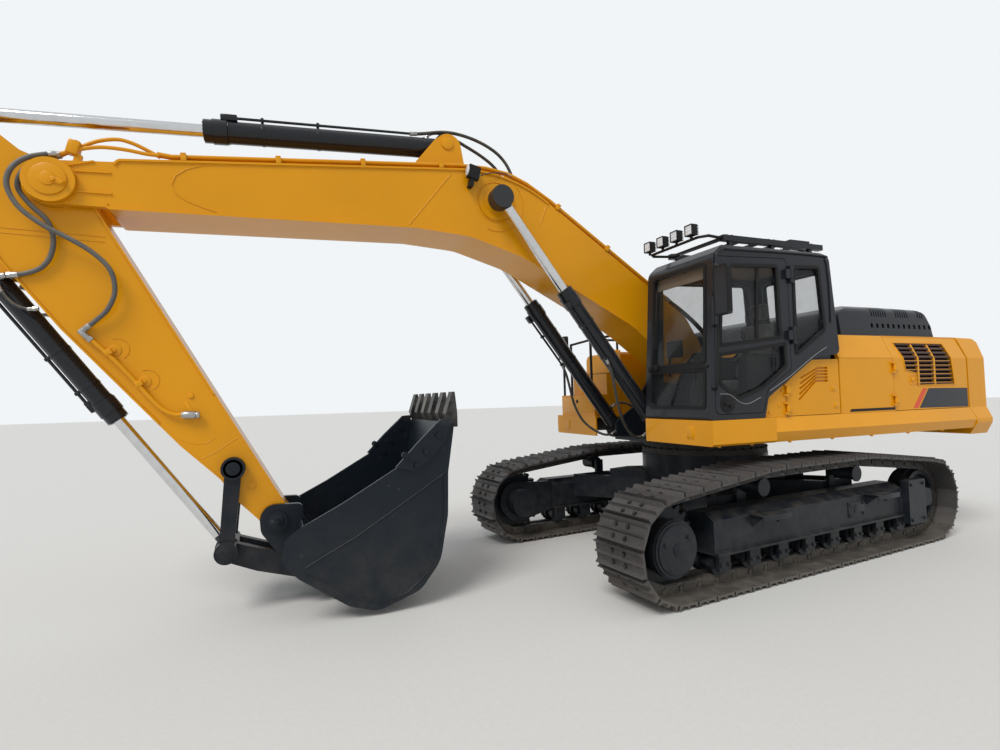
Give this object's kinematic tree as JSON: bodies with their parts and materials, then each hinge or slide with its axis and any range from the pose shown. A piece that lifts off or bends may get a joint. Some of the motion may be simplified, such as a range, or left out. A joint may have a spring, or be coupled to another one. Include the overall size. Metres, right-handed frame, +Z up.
{
  "type": "crawler excavator",
  "caption": "Tracked excavator with a cab at the left of its boom, a long arm and a toothed bucket curled just above the ground.",
  "frame": {"origin": "centre of the bounding box, on the ground under the tracks", "axes": "+X from the counterweight to the boom, +Y to the cab side, +Z up"},
  "size_m": [10.8452, 3.6486, 4.4998],
  "materials": {
    "yellow_paint": "semi-gloss",
    "dark_paint": "semi-gloss",
    "track_steel": "rough",
    "cast_weight": "semi-gloss",
    "chrome_rod": "polished",
    "window_glass": "clear",
    "seat_fabric": "woven",
    "dark_plastic": "matte",
    "engine_alloy": "cast",
    "radiator_core": "matte",
    "worn_steel": "worn"
  },
  "bodies": {
    "undercarriage": {"carbody": "dark_paint", "swing_bearing": "worn_steel", "track_frame_left": "dark_paint", "track_frame_right": "dark_paint", "bottom_rollers_left": "dark_paint", "bottom_rollers_right": "dark_paint", "carrier_rollers": "dark_paint", "idlers": "dark_paint", "final_drives": "dark_paint", "track_left": "track_steel", "track_right": "track_steel"},
    "upper": {"swing_frame": "dark_paint", "side_skirts": "yellow_paint", "cab_shell": "dark_paint", "cab_glass": "window_glass", "operator_seat": "seat_fabric", "control_consoles": "dark_plastic", "roof_guard": "dark_paint", "work_lamps": "dark_plastic", "mirrors": "dark_plastic", "handrails": "dark_paint", "engine_block": "engine_alloy", "radiator": "radiator_core", "left_panel": "yellow_paint", "right_panel": "yellow_paint", "hood_deck": "yellow_paint", "counterweight": "cast_weight", "fuel_tank": "yellow_paint", "hydraulic_tank": "yellow_paint", "tool_box": "yellow_paint"},
    "boom": {"boom": "yellow_paint", "boom_pipes": "yellow_paint", "boom_lamp": "dark_plastic"},
    "arm": {"arm": "yellow_paint"},
    "bucket": {"bucket": "dark_paint", "bucket_teeth": "worn_steel"},
    "rocker": {"rocker_links": "dark_paint"},
    "link": {"push_link": "dark_paint"},
    "boom_barrels": {"boom_cylinder_barrels": "dark_paint"},
    "boom_rods": {"boom_cylinder_rods": "chrome_rod"},
    "arm_barrel": {"arm_cylinder_barrel": "dark_paint"},
    "arm_rod": {"arm_cylinder_rod": "chrome_rod"},
    "bucket_barrel": {"bucket_cylinder_barrel": "dark_paint"},
    "bucket_rod": {"bucket_cylinder_rod": "chrome_rod"},
    "cab_door": {"cab_door": "dark_paint", "door_glass": "window_glass"},
    "side_door": {"front_side_door": "yellow_paint"},
    "grille_door": {"radiator_door": "yellow_paint"},
    "pump_bay_door": {"pump_door": "yellow_paint"},
    "hood": {"engine_hood": "dark_paint", "exhaust_pipe": "dark_paint"}
  },
  "joints": [
    {"name": "slew", "type": "hinge", "parent": "undercarriage", "child": "upper", "pos_m": [-1.99262, 0, 1.2], "axis": [0, 0, 1], "continuous": true},
    {"name": "boom_lift", "type": "hinge", "parent": "upper", "child": "boom", "pos_m": [-1.73062, 0, 2.065], "axis": [0, -1, 0], "range_deg": [-59, 50]},
    {"name": "arm_swing", "type": "hinge", "parent": "boom", "child": "arm", "pos_m": [4.51627, 0, 3.5371], "axis": [0, 1, 0], "range_deg": [-104, 3]},
    {"name": "bucket_curl", "type": "hinge", "parent": "arm", "child": "bucket", "pos_m": [2.91727, 0, 0.76755], "axis": [0, 1, 0], "range_deg": [-140, 0]},
    {"name": "rocker_turn", "type": "hinge", "parent": "arm", "child": "rocker", "pos_m": [3.2565, 0, 1.23911], "axis": [0, 1, 0], "range_deg": [-100, 2]},
    {"name": "link_turn", "type": "hinge", "parent": "bucket", "child": "link", "pos_m": [2.64727, 0, 0.31055], "axis": [0, 1, 0], "range_deg": [-2, 114]},
    {"name": "boom_barrel_tilt", "type": "hinge", "parent": "upper", "child": "boom_barrels", "pos_m": [-1.02262, 0, 1.36], "axis": [0, -1, 0], "range_deg": [-60, 52]},
    {"name": "boom_rod_slide", "type": "slide", "parent": "boom_barrels", "child": "boom_rods", "axis": [0.6026, 0, 0.798], "range_m": [-0.92, 0.78]},
    {"name": "arm_barrel_tilt", "type": "hinge", "parent": "boom", "child": "arm_barrel", "pos_m": [1.2694, 0, 4.37983], "axis": [0, 1, 0], "range_deg": [-3, 1]},
    {"name": "arm_rod_slide", "type": "slide", "parent": "arm_barrel", "child": "arm_rod", "axis": [0.9976, 0, -0.0697], "range_m": [-1.5, 0.06]},
    {"name": "bucket_barrel_tilt", "type": "hinge", "parent": "arm", "child": "bucket_barrel", "pos_m": [5.03746, 0, 2.94982], "axis": [0, 1, 0], "range_deg": [-6, 1]},
    {"name": "bucket_rod_slide", "type": "slide", "parent": "bucket_barrel", "child": "bucket_rod", "axis": [-0.5819, 0, -0.8133], "range_m": [-1.06, 0.01]},
    {"name": "cab_door_hinge", "type": "hinge", "parent": "upper", "child": "cab_door", "pos_m": [-1.84262, 1.502, 2.3], "axis": [0, 0, 1], "range_deg": [0, 170]},
    {"name": "side_door_hinge", "type": "hinge", "parent": "upper", "child": "side_door", "pos_m": [-1.79262, 1.443, 1.7], "axis": [0, 0, 1], "range_deg": [-90, 0]},
    {"name": "grille_door_hinge", "type": "hinge", "parent": "upper", "child": "grille_door", "pos_m": [-3.42562, 1.443, 1.8], "axis": [0, 0, 1], "range_deg": [-100, 0]},
    {"name": "pump_bay_door_hinge", "type": "hinge", "parent": "upper", "child": "pump_bay_door", "pos_m": [-3.42562, -1.443, 1.8], "axis": [0, 0, 1], "range_deg": [0, 100]},
    {"name": "hood_hinge", "type": "hinge", "parent": "upper", "child": "hood", "pos_m": [-2.62962, 0, 2.378], "axis": [0, 1, 0], "range_deg": [0, 45]}
  ],
  "couplings": [
    {"joint": "rocker_turn", "follows": "bucket_curl", "ratio": 0.6964},
    {"joint": "link_turn", "follows": "bucket_curl", "ratio": -0.7984},
    {"joint": "boom_barrel_tilt", "follows": "boom_lift", "ratio": 0.9799},
    {"joint": "boom_rod_slide", "follows": "boom_lift", "m_per_rad": 0.8749},
    {"joint": "arm_barrel_tilt", "follows": "arm_swing", "ratio": 0.0151},
    {"joint": "arm_rod_slide", "follows": "arm_swing", "m_per_rad": 0.8016},
    {"joint": "bucket_barrel_tilt", "follows": "bucket_curl", "ratio": 0.0356},
    {"joint": "bucket_rod_slide", "follows": "bucket_curl", "m_per_rad": 0.4276}
  ]
}
